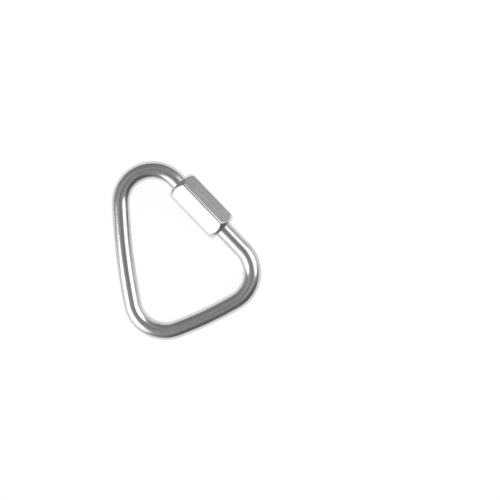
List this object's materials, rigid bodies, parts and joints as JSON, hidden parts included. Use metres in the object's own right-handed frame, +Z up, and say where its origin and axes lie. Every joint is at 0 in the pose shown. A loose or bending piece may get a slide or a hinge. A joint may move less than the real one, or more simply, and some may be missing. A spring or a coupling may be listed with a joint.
{
  "type": "triangular quick link",
  "caption": "Triangular chain quick link: a bent round steel bar with an open side, shut by a long hexagon sleeve nut that winds along its threaded ends.",
  "frame": {"origin": "middle of the part's outline seen from above, at table height", "axes": "+Y runs from the base bar to the apex bend, +X points to the gate side with the sleeve, +Z up"},
  "size_m": [0.0798, 0.0978, 0.0194],
  "materials": {
    "polished_bar": "tumbled and polished stainless steel",
    "polished_sleeve": "machined hexagon bar, flats polished, ends turned"
  },
  "bodies": {
    "link": {"link_body": "polished_bar"},
    "sleeve": {"sleeve_nut": "polished_sleeve"}
  },
  "joints": [
    {"name": "sleeve_travel", "type": "slide", "parent": "link", "child": "sleeve", "axis": [0.3201, -0.9474, 0], "range_m": [0, 0.014]}
  ]
}
